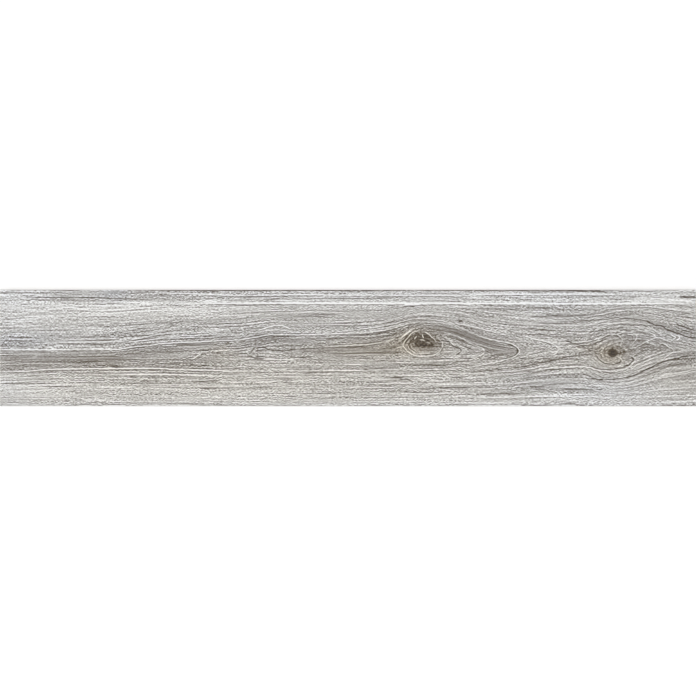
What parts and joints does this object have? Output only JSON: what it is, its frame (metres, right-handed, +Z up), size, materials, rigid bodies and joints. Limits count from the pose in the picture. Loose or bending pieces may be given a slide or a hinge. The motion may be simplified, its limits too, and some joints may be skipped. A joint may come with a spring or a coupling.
{
  "type": "wood look porcelain plank tile",
  "caption": "Long rectangular porcelain floor or wall tile with a grey oak look face, ground edges and a ribbed back that beds in adhesive.",
  "frame": {"origin": "middle of the bedding plane, which the rib tops of the back lie in", "axes": "+X along the grain and the long edges, +Y across the plank, +Z up out of the face"},
  "size_m": [1.2, 0.2, 0.01],
  "materials": {
    "porcelain": "matt glaze with a washed grey oak grain on the face; bare fired body on the edges and back"
  },
  "bodies": {
    "root": {"plank_tile": "porcelain"}
  },
  "joints": []
}
